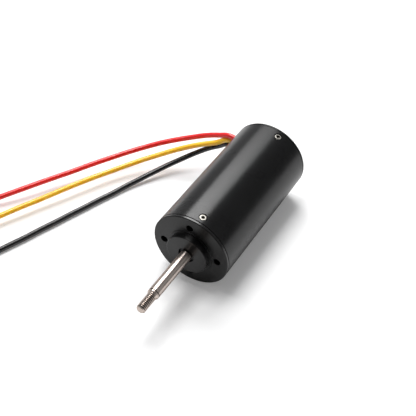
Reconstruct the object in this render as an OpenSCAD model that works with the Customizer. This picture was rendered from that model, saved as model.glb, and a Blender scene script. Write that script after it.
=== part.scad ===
// Brushless dc motor with its rotor inside a plain tube, lying on its side.
// The shaft points along -Y, the three leads leave on the -X side near the rear,
// and the origin is on the shaft's axis in the plane of the front face.

/* [Body] */
// Outside diameter of the tube and of both end caps
body_d = 56; // [54:0.5:60]
// Length over both end caps
body_len = 110; // [106:1:125]
// Wall of the tube
tube_wall = 3; // [2.6:0.2:3.6]
// Chamfer on the outer rims of the end caps
rim_chamfer = 0.6; // [0.3:0.1:0.9]

/* [End caps] */
// Rim of each end cap, which shows behind the face
flange_t = 2; // [1.5:0.25:3]
// Depth of each spigot inside the tube
spigot_len = 10; // [9:0.5:12]
// Wall of each spigot behind its plate
spigot_wall = 4; // [3:0.25:4.5]
// Plate of the front end cap, face included
front_plate_t = 9; // [8.5:0.25:10]
// Plate of the rear end cap, face included
rear_plate_t = 2.5; // [2.5:0.1:3]
// Wall of each bearing housing
hub_wall = 2.2; // [1.6:0.2:2.6]
// Diameter of the pilot boss
pilot_d = 30; // [28:0.5:31]
// Height of the pilot boss above the face
pilot_h = 5; // [4:0.25:6]
// Diameter of the low ring at the foot of the pilot boss
foot_ring_d = 33; // [32.5:0.5:34]
// Height of the low ring
foot_ring_h = 0.6; // [0.4:0.1:1]
// Hole round the shaft in the pilot boss
boss_bore_d = 11.5; // [11:0.25:13]
// Lip of the pilot boss in front of the bearing
boss_lip_t = 1.5; // [1:0.25:2]
// Hole round the shaft in the rear end cap
rear_bore_d = 14; // [13:0.5:16]

/* [Mounting holes] */
// Diameter of the circle of mounting holes
mount_circle_d = 40; // [39:0.5:41]
// Diameter of each tapped mounting hole
mount_hole_d = 5; // [4:0.5:5]
// Depth of each tapped mounting hole
mount_hole_depth = 8; // [5:0.5:8]
// Number of mounting holes
mount_hole_n = 4; // [4:2:4]

/* [Cap screws] */
// Thread diameter of the screws through the tube
screw_d = 3; // [2.5:0.25:3]
// Diameter of the countersunk head
screw_head_d = 5.2; // [4.8:0.1:5.5]
// Length of each screw over its head
screw_len = 6; // [5:0.25:6.25]
// Width across the flats of the hexagon socket
screw_key = 2; // [1.5:0.25:2.25]
// Diameter of the countersink at the tube's surface
countersink_d = 6; // [5.8:0.1:6.4]
// Distance of the screws from each end of the body
screw_inset = 7; // [6.5:0.25:7.5]

/* [Shaft] */
// Diameter of the shaft
shaft_d = 8; // [7:0.25:8.5]
// Reach of the shaft in front of the face
shaft_reach = 57.5; // [50:0.5:70]
// Diameter of the threaded tip
tip_d = 6.35; // [5.5:0.05:6.5]
// Length of the threaded tip
tip_len = 13.3; // [10:0.1:16]
// Length of the cone behind the threaded tip
tip_cone_len = 0.8; // [0.6:0.1:2]
// Length of the collar behind the cone
tip_collar_len = 0.9; // [0.6:0.1:2]
// Width of the turned groove behind the collar
tip_groove_w = 0.6; // [0.4:0.1:1]
// Depth of the turned groove
tip_groove_depth = 0.5; // [0.2:0.1:0.6]
// Chamfer at both ends of the shaft
shaft_chamfer = 0.6; // [0.3:0.1:1]

/* [Bearings] */
// Outside diameter of each ball bearing
bearing_od = 22; // [21:0.5:23]
// Width of each ball bearing
bearing_w = 7; // [6.5:0.25:7.5]
// Diameter of the balls, as a share of the room between shaft and outside
ball_share = 0.557; // [0.5:0.01:0.57]
// Number of balls in each bearing
ball_n = 7; // [6:1:7]

/* [Stator] */
// Length of the lamination stack, as a share of the body's length
stack_share = 0.6; // [0.55:0.01:0.61]
// Bore of the lamination stack, as a share of the body's diameter
bore_share = 0.536; // [0.53:0.002:0.55]
// Number of teeth, in three phases
tooth_n = 12; // [12:3:12]
// Width of each tooth, as a share of the body's diameter
tooth_share = 0.068; // [0.058:0.002:0.07]
// Thickness of the yoke behind the slots, as a share of the body's diameter
yoke_share = 0.0625; // [0.054:0.0005:0.064]
// Depth of the pole shoes at the bore
shoe_t = 1.6; // [1.2:0.1:1.8]
// Opening of each slot at the bore, in degrees
slot_opening = 6; // [4:0.5:8]
// Thickness of wire on each side of a tooth, as a share of the body's diameter
coil_share = 0.0375; // [0.029:0.0005:0.0375]
// Thickness of each end insulator
insulator_t = 1.2; // [0.8:0.1:1.6]

/* [Rotor] */
// Diameter of the shaft under the rotor, as a share of the body's diameter
seat_share = 0.2143; // [0.2:0.01:0.23]
// Air gap between the bandage and the teeth
rotor_gap = 0.66; // [0.5:0.02:0.9]
// Thickness of the magnets, as a share of the body's diameter
magnet_share = 0.048; // [0.036:0.002:0.05]
// Number of magnets
magnet_n = 4; // [2:2:6]
// Gap between two magnets, in degrees
magnet_gap = 5; // [3:1:8]
// Thickness of the bandage round the magnets
sleeve_t = 0.6; // [0.4:0.1:0.7]
// Length of each balance ring
balance_ring_len = 4; // [3:0.5:4.5]

/* [Leads] */
// Outside diameter of each silicone lead
lead_d = 4; // [3.5:0.1:4]
// Distance between two leads in the outlet
lead_pitch = 4.2; // [4.1:0.1:4.6]
// Distance of the leads from the rear face
lead_inset = 4.8; // [4.8:0.1:5.4]
// Diameter of each bullet connector's plug
bullet_d = 4; // [3.5:0.1:4.5]

/* [Hidden] */

$fn = 96;

// Clearances and overruns
fit_gap = 0.02;      // between pieces pressed or screwed together
thread_gap = 0.05;   // between a screw and its tapped hole
air_gap = 0.3;       // between pieces that only lie near each other
ball_gap = 0.15;     // between a ball and its race
over = 1;            // how far a cut runs past its face

// Tube and caps
body_r = body_d / 2;
tube_in_r = body_r - tube_wall;
spigot_r = tube_in_r - fit_gap;
spigot_in_r = spigot_r - spigot_wall;
floor_z = -body_r;
tube_y0 = flange_t;
tube_y1 = body_len - flange_t;
front_spigot_y = flange_t + spigot_len;
rear_spigot_y = body_len - front_spigot_y;
rear_plate_y = body_len - rear_plate_t;
pilot_chamfer = foot_ring_h / 2;

// Cap screws
head_sink = 0.2;
head_h = (screw_head_d - screw_d) / 2;
countersink_h = (countersink_d - screw_d) / 2;
socket_depth = head_h + head_sink;
screw_head_r = body_r - head_sink;
screw_tip_r = screw_head_r - screw_len;
tapped_r = screw_tip_r - 2 * head_sink;
front_screw_angles = [78, 198, 318];
rear_screw_angles = [71, 201, 301];
front_screw_y = screw_inset;
rear_screw_y = body_len - screw_inset;

// Bearings, in the plane of the ring: x is the radius
bearing_seat_r = bearing_od / 2 + fit_gap;
hub_r = bearing_seat_r + hub_wall;
ball_r = ball_share * (bearing_od - shaft_d) / 4;
race_r = ball_r + ball_gap;
pitch_r = (shaft_d + bearing_od) / 4;
inner_land_r = pitch_r - 0.75 * ball_r;
outer_land_r = pitch_r + 0.75 * ball_r;
shield_t = 0.3;
cage_t = ball_r / 2;
cage_w = 2 * race_r + 2 * shield_t;
front_bearing_y = -pilot_h + boss_lip_t;
washer_wave = 0.2;
washer_t = 0.3;
washer_room = 0.8;
rear_bearing_y = rear_plate_y - washer_room - bearing_w;

// Stator
stack_len = stack_share * body_len;
stator_bore_d = bore_share * body_d;
tooth_w = tooth_share * body_d;
yoke_t = yoke_share * body_d;
coil_t = coil_share * body_d;
stack_y0 = (body_len - stack_len) / 2;
stack_y1 = stack_y0 + stack_len;
stator_r = tube_in_r - fit_gap;
stator_bore_r = stator_bore_d / 2;
yoke_in_r = stator_r - yoke_t;
tooth_step = 360 / tooth_n;
liner_t = 0.3;
coil_in_r = stator_bore_r + shoe_t + liner_t;
coil_half_w = tooth_w / 2 + liner_t + coil_t;
coil_out_r = sqrt(pow(yoke_in_r, 2) - pow(coil_half_w, 2)) - liner_t;
coil_half_l = stack_len / 2 + insulator_t + liner_t + coil_t;
coil_corner_r = coil_t;
fence_t = yoke_t / 2;
fence_h = coil_t + liner_t;

// Rotor
magnet_t = magnet_share * body_d;
rotor_core_r = stator_bore_r - rotor_gap - sleeve_t - magnet_t - 2 * fit_gap;
magnet_in_r = rotor_core_r + fit_gap;
magnet_out_r = magnet_in_r + magnet_t;
sleeve_in_r = magnet_out_r + fit_gap;
sleeve_out_r = sleeve_in_r + sleeve_t;
seat_r = seat_share * body_d / 2;
seat_y0 = stack_y0 - balance_ring_len;
seat_y1 = stack_y1 + balance_ring_len;
balance_r = magnet_out_r - fence_t / 2;
balance_hole_d = balance_ring_len / 2;
spacer_wall = 1.6;

// Shaft
shaft_r = shaft_d / 2;
tip_r = tip_d / 2;
tip_y = -shaft_reach;
cone_y = tip_y + tip_len;
collar_y = cone_y + tip_cone_len;
groove_y = collar_y + tip_collar_len;
plain_y = groove_y + tip_groove_w;
relief_depth = 0.3;
relief_y0 = -pilot_h + relief_depth;
circlip_t = 0.8;
circlip_w = 1.7;
circlip_depth = 0.25;
circlip_y = rear_bearing_y + bearing_w + fit_gap;
circlip_groove_w = circlip_t + 2 * fit_gap;
shaft_end_y = circlip_y + 2 * circlip_groove_w;

// Lead outlet. Angles run from +X towards +Z.
outlet_angle = 172;
lead_r = lead_d / 2;
lead_y = body_len - lead_inset;
outlet_room_share = 0.69;
grommet_in_r = hub_r + outlet_room_share * (spigot_in_r - hub_r);
lead_start_r = grommet_in_r + fit_gap;
lead_rows = [1, 0, -1];
grommet_wall = 1.2;
lead_hole_r = lead_r + thread_gap;
grommet_w = 2 * lead_pitch + 2 * lead_hole_r + 2 * grommet_wall;
grommet_y0 = lead_y - lead_r - grommet_wall;
grommet_y1 = tube_y1 - fit_gap;
grommet_corner_r = grommet_wall;
grommet_lip_r = spigot_in_r - 2 * fit_gap;
ferrule_r = lead_r - 2 * thread_gap;
ferrule_share = 0.75;
ferrule_len = ferrule_share * (lead_start_r - hub_r);
tail_r = ferrule_r * 0.6;
tail_y = stack_y0 + stack_len / 2 + coil_half_l + air_gap;

// Ends of the leads
cup_r = 0.7 * bullet_d;
cup_len = 1.6 * bullet_d;
collar_r = cup_r + thread_gap * 4;
collar_len = bullet_d / 4;
plug_r = bullet_d / 2;
plug_len = 2.2 * bullet_d;
nose_r = plug_r / 2;
shrink_wall = 0.5;
shrink_back = 1.5 * lead_d;
shrink_in_r = lead_r + 2 * thread_gap;
shrink_cup_r = cup_r + 2 * thread_gap;

// Free route of each lead from the outlet to its connector. All three sink towards
// the floor. Red and yellow hang a little above it until the heat-shrink sleeves
// meet it, and black lies almost on it for most of the way.
red_route = [
  [-40, 106, 5], [-51, 105.5, 0.5], [-62, 102, -3.5], [-72, 97, -6.5], [-82, 91, -9.5],
  [-91.5, 84, -12.5], [-100, 75.5, -14.5], [-107.5, 66.5, -16], [-114.5, 57, -17], [-121.5, 47, -18],
  [-127.5, 37, -18.5], [-134, 27, -19], [-140, 16.5, -19], [-146.5, 6, -19.5], [-153, -3.5, -20.5],
  [-160, -13, -22], [-166, -23, -23.5], [-171, -34, -24.6], [-174, -41, -24.6], [-177, -48, -24.6]
];
yellow_route = [
  [-41, 102.5, 0], [-51.5, 98.5, -3.5], [-61.5, 93.5, -7], [-71, 87.5, -10.5], [-80, 80, -13.5],
  [-88.5, 72, -16], [-96.5, 62.5, -18], [-103, 53, -19], [-109, 42.5, -19], [-114.5, 32, -19],
  [-120, 21, -19], [-125.5, 10.5, -19.5], [-131, 0, -20], [-136.5, -11, -20], [-142, -21.5, -20.5],
  [-147.5, -32, -21.5], [-152.5, -43, -23], [-157, -54, -24.6], [-160, -61, -24.6], [-163, -68, -24.6]
];
black_route = [
  [-39.5, 104.5, -4], [-46, 102, -7], [-55, 97, -12], [-63, 89.5, -16], [-70.5, 81, -19.5],
  [-77, 71, -22], [-83, 60.5, -24], [-88, 50, -25], [-92.5, 38.5, -25.5], [-97, 27.5, -25.5],
  [-101, 16.5, -25.5], [-105.5, 5, -25.5], [-109.5, -6, -25.5], [-114, -17.5, -25.5],
  [-118, -28.5, -25.5], [-122.5, -39.5, -25.5], [-127, -50.5, -25.5], [-131.5, -61.5, -25],
  [-135.5, -72, -24.6], [-138.5, -79, -24.6], [-141.5, -86, -24.6]
];
lead_sides = 10;

// Point at a distance from the axis along the outlet, on the row of a lead
function outlet_point(r, row) = [
  r * cos(outlet_angle) + row * lead_pitch * sin(outlet_angle),
  lead_y,
  r * sin(outlet_angle) - row * lead_pitch * cos(outlet_angle)
];
function whole_route(row, free) = concat(
  [for (r = [lead_start_r, tube_in_r, body_r + lead_d]) outlet_point(r, row)], free
);
function unit(v) = v / norm(v);
function heading(pts, i) = unit(pts[min(i + 1, len(pts) - 1)] - pts[max(i - 1, 0)]);
function route_length(pts, i = 1) = i >= len(pts) ? 0 : norm(pts[i] - pts[i - 1]) + route_length(pts, i + 1);

echo(red_length = route_length(whole_route(1, red_route)));
echo(yellow_length = route_length(whole_route(0, yellow_route)));
echo(black_length = route_length(whole_route(-1, black_route)));

// Frames and shared shapes

// Stands a shape that was drawn about Z along the motor's axis
module along_axis(y = 0) {
  translate([0, y, 0]) rotate([-90, 0, 0]) children();
}

// Turns a shape about the motor's axis, from +X towards +Z
module at_angle(angle) {
  rotate([0, -angle, 0]) children();
}

// Puts a shape at a place along the motor's axis and points its Z outwards
module pointing_out(angle, y) {
  translate([0, y, 0]) at_angle(angle) rotate([0, 90, 0]) children();
}

module ring(inner_r, outer_r, h) {
  rotate_extrude()
    translate([inner_r, 0]) square([outer_r - inner_r, h]);
}

// Rectangle with round corners, its centre at the origin
module rounded_rect(w, l, corner_r) {
  square([w - 2 * corner_r, l], center = true);
  square([w, l - 2 * corner_r], center = true);
  for (sx = [-1, 1])
    for (sy = [-1, 1])
      translate([sx * (w / 2 - corner_r), sy * (l / 2 - corner_r)]) circle(r = corner_r, $fn = 32);
}

// Housing

// Slot for the leads, open towards the rear
module outlet_slot(w, y0, y1, corner_r, from_r, to_r) {
  pointing_out(outlet_angle, 0)
    translate([0, 0, from_r])
      linear_extrude(to_r - from_r) {
        translate([-w / 2, y0 + corner_r]) square([w, y1 - y0 - corner_r]);
        translate([0, y0 + corner_r]) square([w - 2 * corner_r, 2 * corner_r], center = true);
        for (side = [-1, 1])
          translate([side * (w / 2 - corner_r), y0 + corner_r]) circle(r = corner_r, $fn = 32);
      }
}

// Screw hole through the tube's wall, with its countersink
module countersunk_hole(angle, y) {
  pointing_out(angle, y) {
    translate([0, 0, tube_in_r - over]) cylinder(d = screw_d + 2 * thread_gap, h = tube_wall + over);
    translate([0, 0, body_r - countersink_h])
      cylinder(d1 = screw_d, d2 = countersink_d, h = countersink_h);
    translate([0, 0, body_r - fit_gap]) cylinder(d = countersink_d, h = over);
  }
}

module tapped_hole(angle, y) {
  pointing_out(angle, y)
    translate([0, 0, tapped_r]) cylinder(d = screw_d + 2 * thread_gap, h = body_r - tapped_r);
}

module housing_tube() {
  color("#1c1c1e")
  difference() {
    along_axis(tube_y0) ring(tube_in_r, body_r, tube_y1 - tube_y0);
    for (angle = front_screw_angles) countersunk_hole(angle, front_screw_y);
    for (angle = rear_screw_angles) countersunk_hole(angle, rear_screw_y);
    outlet_slot(
      grommet_w + 2 * fit_gap, grommet_y0 - fit_gap, tube_y1 + over, grommet_corner_r,
      tube_in_r - over, body_r + over
    );
  }
}

// Front end cap: face, pilot boss with its foot ring, bearing seat and spigot
module front_end_cap() {
  bearing_end = front_bearing_y + bearing_w;
  color("#2a2a2c")
  difference() {
    along_axis()
      rotate_extrude()
        polygon([
          [boss_bore_d / 2, -pilot_h],
          [pilot_d / 2 - pilot_chamfer, -pilot_h],
          [pilot_d / 2, -pilot_h + pilot_chamfer],
          [pilot_d / 2, -foot_ring_h],
          [foot_ring_d / 2, -foot_ring_h],
          [foot_ring_d / 2, 0],
          [body_r - rim_chamfer, 0],
          [body_r, rim_chamfer],
          [body_r, flange_t],
          [spigot_r, flange_t],
          [spigot_r, front_spigot_y],
          [spigot_in_r, front_spigot_y],
          [spigot_in_r, front_plate_t],
          [bearing_seat_r, front_plate_t],
          [bearing_seat_r, front_bearing_y],
          [boss_bore_d / 2, front_bearing_y]
        ]);
    for (i = [0 : mount_hole_n - 1])
      at_angle(i * 360 / mount_hole_n)
        translate([mount_circle_d / 2, 0, 0])
          along_axis(-over) cylinder(d = mount_hole_d, h = mount_hole_depth + over, $fn = 48);
    for (angle = front_screw_angles) tapped_hole(angle, front_screw_y);
  }
}

// Rear end cap: thin plate, bearing housing and spigot, with a window for the leads
module rear_end_cap() {
  color("#2a2a2c")
  difference() {
    along_axis() {
      rotate_extrude()
        polygon([
          [rear_bore_d / 2, rear_plate_y],
          [bearing_seat_r, rear_plate_y],
          [bearing_seat_r, rear_bearing_y],
          [hub_r, rear_bearing_y],
          [hub_r, rear_plate_y],
          [spigot_in_r, rear_plate_y],
          [spigot_in_r, rear_spigot_y],
          [spigot_r, rear_spigot_y],
          [spigot_r, tube_y1],
          [body_r, tube_y1],
          [body_r, body_len - rim_chamfer],
          [body_r - rim_chamfer, body_len],
          [rear_bore_d / 2, body_len]
        ]);
    }
    for (angle = rear_screw_angles) tapped_hole(angle, rear_screw_y);
    pointing_out(outlet_angle, 0)
      translate([0, (rear_spigot_y - over + rear_plate_y) / 2, hub_r + over])
        linear_extrude(tube_in_r - hub_r)
          square([grommet_w + 4 * fit_gap, rear_plate_y - rear_spigot_y + over], center = true);
  }
}

// Countersunk hexagon-socket screw, drawn with its head at the top
module cap_screw() {
  difference() {
    rotate_extrude($fn = 48)
      polygon([
        [0, -screw_len],
        [screw_d / 2 - head_sink, -screw_len],
        [screw_d / 2, -screw_len + head_sink],
        [screw_d / 2, -head_h - head_sink],
        [screw_head_d / 2, -head_sink],
        [screw_head_d / 2, 0],
        [0, 0]
      ]);
    translate([0, 0, -socket_depth])
      cylinder(d = screw_key / cos(30), h = socket_depth + over, $fn = 6);
  }
}

module cap_screws(angles, y) {
  color("#b9babd")
    for (angle = angles)
      pointing_out(angle, y) translate([0, 0, screw_head_r]) cap_screw();
}

// Stator

module tooth_places() {
  for (i = [0 : tooth_n - 1]) rotate(i * tooth_step) children();
}

// Wedge about the X axis that reaches past a radius
module wedge(half_angle, r) {
  reach = r / cos(half_angle) + over;
  polygon([
    [0, 0],
    [reach * cos(half_angle), -reach * sin(half_angle)],
    [reach * cos(half_angle), reach * sin(half_angle)]
  ]);
}

module lamination() {
  difference() {
    circle(r = stator_r);
    circle(r = yoke_in_r);
  }
  tooth_places()
    translate([stator_bore_r + shoe_t / 2, -tooth_w / 2])
      square([yoke_in_r - stator_bore_r, tooth_w]);
  intersection() {
    difference() {
      circle(r = stator_bore_r + shoe_t);
      circle(r = stator_bore_r);
    }
    tooth_places() wedge((tooth_step - slot_opening) / 2, stator_bore_r + shoe_t);
  }
}

module stator_core() {
  color("#6e7074")
    along_axis(stack_y0) linear_extrude(stack_len) lamination();
}

// Insulator plate over one end of the stack, with a fence behind the coils
module end_insulator(y, direction) {
  color("#e6e2d2")
    translate([0, y, 0]) rotate([-90 * direction, 0, 0]) {
      linear_extrude(insulator_t) lamination();
      linear_extrude(insulator_t + fence_h)
        difference() {
          circle(r = yoke_in_r + fence_t);
          circle(r = yoke_in_r);
        }
    }
}

// One coil wound round a tooth that points along X
module tooth_coil() {
  rotate([0, 90, 0])
    translate([0, 0, coil_in_r])
      linear_extrude(coil_out_r - coil_in_r)
        difference() {
          rounded_rect(2 * coil_half_w, 2 * coil_half_l, coil_corner_r);
          square([2 * (coil_half_w - coil_t), 2 * (coil_half_l - coil_t)], center = true);
        }
}

module phase_coils(phase, tint) {
  color(tint)
    translate([0, stack_y0 + stack_len / 2, 0])
      for (i = [phase : 3 : tooth_n - 1])
        at_angle(i * tooth_step) tooth_coil();
}

// Crimp ferrule on the inner end of each lead, with the winding tail that enters it
module lead_ferrules() {
  color("#b87333")
    for (row = lead_rows) {
      place = outlet_point(lead_start_r - ferrule_len / 2, row);
      translate([place.x, tail_y, place.z])
        rotate([-90, 0, 0]) cylinder(r = tail_r, h = lead_y - tail_y, $fn = 32);
      translate(outlet_point(lead_start_r - ferrule_len, row))
        at_angle(outlet_angle) rotate([0, 90, 0]) cylinder(r = ferrule_r, h = ferrule_len - fit_gap, $fn = 32);
    }
}

// Bearings

module bearing_outer_ring(y) {
  color("#c8cacd")
    along_axis(y)
      rotate_extrude()
        difference() {
          translate([outer_land_r, 0]) square([bearing_od / 2 - outer_land_r, bearing_w]);
          translate([pitch_r, bearing_w / 2]) circle(r = race_r, $fn = 64);
        }
}

module bearing_inner_ring(y) {
  color("#c8cacd")
    along_axis(y)
      rotate_extrude()
        difference() {
          translate([shaft_r + fit_gap, 0]) square([inner_land_r - shaft_r - fit_gap, bearing_w]);
          translate([pitch_r, bearing_w / 2]) circle(r = race_r, $fn = 64);
        }
}

module ball_places() {
  for (i = [0 : ball_n - 1]) rotate(i * 360 / ball_n) translate([pitch_r, 0, bearing_w / 2]) children();
}

module bearing_balls(y) {
  color("#e8e8ea")
    along_axis(y) ball_places() sphere(r = ball_r, $fn = 48);
}

module bearing_cage(y) {
  color("#a98b4f")
    along_axis(y)
      difference() {
        translate([0, 0, (bearing_w - cage_w) / 2])
          ring(pitch_r - cage_t / 2, pitch_r + cage_t / 2, cage_w);
        ball_places() rotate([0, 90, 0]) cylinder(r = race_r, h = 2 * cage_t, center = true, $fn = 48);
      }
}

module bearing_shields(y) {
  color("#9da0a4")
    for (z = [shield_t / 2, bearing_w - 1.5 * shield_t])
      along_axis(y + z) ring(inner_land_r + air_gap, outer_land_r - fit_gap, shield_t);
}

// Three-wave washer that loads the rear bearing
module preload_washer() {
  steps = 48;
  waves = 3;
  radii = [outer_land_r, bearing_od / 2 - thread_gap];
  mid = rear_plate_y - washer_room / 2;
  function wave(i) = mid + washer_wave * sin(waves * i * 360 / steps);
  points = [
    for (i = [0 : steps - 1])
      for (side = [-1, 1])
        for (r = side < 0 ? [radii[0], radii[1]] : [radii[1], radii[0]])
          [
            r * cos(i * 360 / steps),
            wave(i) + side * washer_t / 2,
            r * sin(i * 360 / steps)
          ]
  ];
  faces = [
    for (i = [0 : steps - 1])
      for (k = [0 : 3])
        for (tri = [[0, 1, 2], [0, 2, 3]])
          let (
            next = (i + 1) % steps,
            quad = [4 * i + k, 4 * i + (k + 1) % 4, 4 * next + (k + 1) % 4, 4 * next + k]
          )
            [for (t = tri) quad[t]]
  ];
  color("#8c8f94") polyhedron(points = points, faces = faces);
}

// Rotor

// Shaft from its threaded tip to the circlip behind the rear bearing
module shaft() {
  color("#c4c6c9")
    along_axis()
      rotate_extrude()
        polygon([
          [0, tip_y],
          [tip_r - shaft_chamfer, tip_y],
          [tip_r, tip_y + shaft_chamfer],
          [tip_r, cone_y],
          [shaft_r, collar_y],
          [shaft_r, groove_y],
          [shaft_r - tip_groove_depth, groove_y],
          [shaft_r - tip_groove_depth, plain_y],
          [shaft_r, plain_y],
          [shaft_r, relief_y0],
          [shaft_r - relief_depth, relief_y0],
          [shaft_r - relief_depth, front_bearing_y],
          [shaft_r, front_bearing_y],
          [shaft_r, seat_y0],
          [seat_r, seat_y0],
          [seat_r, seat_y1],
          [shaft_r, seat_y1],
          [shaft_r, circlip_y],
          [shaft_r - circlip_depth, circlip_y],
          [shaft_r - circlip_depth, circlip_y + circlip_groove_w],
          [shaft_r, circlip_y + circlip_groove_w],
          [shaft_r, shaft_end_y - circlip_depth],
          [shaft_r - circlip_depth, shaft_end_y],
          [0, shaft_end_y]
        ]);
}

module rotor_core() {
  color("#54565a")
    along_axis(stack_y0) ring(seat_r + fit_gap, rotor_core_r, stack_len);
}

module rotor_magnets() {
  arc = 360 / magnet_n - magnet_gap;
  color("#8d9196")
    for (i = [0 : magnet_n - 1])
      along_axis(stack_y0)
        rotate(i * 360 / magnet_n + magnet_gap / 2)
          rotate_extrude(angle = arc)
            translate([magnet_in_r, 0]) square([magnet_t, stack_len]);
}

module magnet_sleeve() {
  color("#26282b")
    along_axis(stack_y0) ring(sleeve_in_r, sleeve_out_r, stack_len);
}

// Brass ring at one end of the rotor, with the blind holes drilled to balance it
module balance_ring(y, holes_y, hole_angles) {
  color("#b5924c")
    difference() {
      along_axis(y) ring(seat_r + fit_gap, balance_r, balance_ring_len - fit_gap);
      for (angle = hole_angles)
        at_angle(angle)
          translate([(seat_r + balance_r) / 2, 0, 0])
            along_axis(holes_y) cylinder(d = balance_hole_d, h = over + balance_hole_d / 2, $fn = 32);
    }
}

module spacer(y0, y1) {
  color("#b9bbbe")
    along_axis(y0) ring(shaft_r + fit_gap, shaft_r + spacer_wall, y1 - y0);
}

// Open ring in the groove behind the rear bearing
module shaft_circlip() {
  color("#3c3e42")
    along_axis(circlip_y + fit_gap)
      linear_extrude(circlip_t)
        difference() {
          circle(r = shaft_r - circlip_depth + fit_gap + circlip_w);
          circle(r = shaft_r - circlip_depth + fit_gap);
          wedge(30, shaft_r + circlip_w);
        }
}

// Leads

// Rubber block in the slot of the tube, held by a lip inside the spigot
module lead_grommet() {
  color("#202022")
    difference() {
      union() {
        intersection() {
          outlet_slot(grommet_w, grommet_y0, grommet_y1, grommet_corner_r, tube_in_r, body_r + over);
          along_axis() cylinder(r = body_r - fit_gap, h = body_len);
        }
        outlet_slot(
          grommet_w, grommet_y0, rear_plate_y - fit_gap, grommet_corner_r,
          grommet_in_r, tube_in_r + fit_gap
        );
        intersection() {
          outlet_slot(
            grommet_w + 2 * grommet_wall, grommet_y0 - grommet_wall, rear_plate_y - fit_gap,
            grommet_corner_r, grommet_in_r, spigot_in_r
          );
          along_axis() cylinder(r = grommet_lip_r, h = body_len);
        }
      }
      for (row = lead_rows)
        translate(outlet_point(hub_r, row))
          at_angle(outlet_angle) rotate([0, 90, 0]) cylinder(r = lead_hole_r, h = body_r, $fn = 48);
    }
}

// Lead as one tube along its route, square at both ends
module lead_tube(pts, tint) {
  n = len(pts);
  rings = [
    for (i = [0 : n - 1])
      let (
        ahead = heading(pts, i),
        side = unit(cross([0, 0, 1], ahead)),
        up = cross(ahead, side)
      )
        for (k = [0 : lead_sides - 1])
          pts[i] + lead_r * (cos(k * 360 / lead_sides) * side - sin(k * 360 / lead_sides) * up)
  ];
  walls = [
    for (i = [0 : n - 2])
      for (k = [0 : lead_sides - 1])
        let (
          a = i * lead_sides + k,
          b = i * lead_sides + (k + 1) % lead_sides
        )
          for (tri = [[a, b, b + lead_sides], [a, b + lead_sides, a + lead_sides]]) tri
  ];
  start_cap = [[for (k = [lead_sides - 1 : -1 : 0]) k]];
  end_cap = [[for (k = [0 : lead_sides - 1]) (n - 1) * lead_sides + k]];
  color(tint) polyhedron(points = rings, faces = concat(walls, start_cap, end_cap));
}

// Stands a shape at the end of a route, its Z along the lead
module at_lead_end(route) {
  last = len(route) - 1;
  step = route[last] - route[last - 1];
  translate(route[last]) rotate([-90, 0, atan2(-step.x, step.y)]) children();
}

// Bullet connector: solder cup, collar and spring plug
module connector(route) {
  color("#c9a44c")
    at_lead_end(route)
      rotate_extrude($fn = 48)
        polygon([
          [0, 0],
          [cup_r, 0],
          [cup_r, cup_len],
          [collar_r, cup_len],
          [collar_r, cup_len + collar_len],
          [plug_r, cup_len + collar_len],
          [plug_r, cup_len + collar_len + plug_len - nose_r],
          [nose_r, cup_len + collar_len + plug_len],
          [0, cup_len + collar_len + plug_len]
        ]);
}

module heat_shrink(route) {
  color("#1a1a1b")
    at_lead_end(route)
      rotate_extrude($fn = 48)
        polygon([
          [shrink_in_r, -shrink_back],
          [shrink_in_r + shrink_wall, -shrink_back],
          [shrink_in_r + shrink_wall, -lead_r],
          [shrink_cup_r + shrink_wall, 0],
          [shrink_cup_r + shrink_wall, cup_len - collar_len],
          [shrink_cup_r, cup_len - collar_len],
          [shrink_cup_r, -fit_gap],
          [shrink_in_r, -lead_r]
        ]);
}

housing_tube();
front_end_cap();
rear_end_cap();
cap_screws(front_screw_angles, front_screw_y);  // front_cap_screws
cap_screws(rear_screw_angles, rear_screw_y);  // rear_cap_screws
stator_core();
end_insulator(stack_y0, -1);  // front_insulator
end_insulator(stack_y1, 1);  // rear_insulator
phase_coils(0, "#b4632f");  // phase_a_coils
phase_coils(1, "#b86a36");  // phase_b_coils
phase_coils(2, "#ac5c2b");  // phase_c_coils
lead_ferrules();
bearing_outer_ring(front_bearing_y);  // front_bearing_outer_ring
bearing_inner_ring(front_bearing_y);  // front_bearing_inner_ring
bearing_balls(front_bearing_y);  // front_bearing_balls
bearing_cage(front_bearing_y);  // front_bearing_cage
bearing_shields(front_bearing_y);  // front_bearing_shields
bearing_outer_ring(rear_bearing_y);  // rear_bearing_outer_ring
bearing_inner_ring(rear_bearing_y);  // rear_bearing_inner_ring
bearing_balls(rear_bearing_y);  // rear_bearing_balls
bearing_cage(rear_bearing_y);  // rear_bearing_cage
bearing_shields(rear_bearing_y);  // rear_bearing_shields
preload_washer();
shaft();
rotor_core();
rotor_magnets();
magnet_sleeve();
balance_ring(seat_y0, seat_y0 - over, [100, 118]);  // front_balance_ring
balance_ring(stack_y1 + fit_gap, seat_y1 - balance_hole_d / 2, [255]);  // rear_balance_ring
spacer(front_bearing_y + bearing_w, seat_y0);  // front_spacer
spacer(seat_y1, rear_bearing_y);  // rear_spacer
shaft_circlip();
lead_grommet();
lead_tube(whole_route(1, red_route), "#c3261f");  // red_lead
lead_tube(whole_route(0, yellow_route), "#e0ab2e");  // yellow_lead
lead_tube(whole_route(-1, black_route), "#1d1d1e");  // black_lead
connector(red_route);  // red_connector
connector(yellow_route);  // yellow_connector
connector(black_route);  // black_connector
heat_shrink(red_route);  // red_heat_shrink
heat_shrink(yellow_route);  // yellow_heat_shrink
heat_shrink(black_route);  // black_heat_shrink
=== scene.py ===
# A brushless dc motor lies on its side on a white table, its shaft towards the camera and its
# three leads running off to the left. The motor's sizes are in millimetres and are scaled by MM,
# and those of the table and the lamps are in metres.

import math

import bmesh
import bpy
from mathutils import Matrix, Vector


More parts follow.
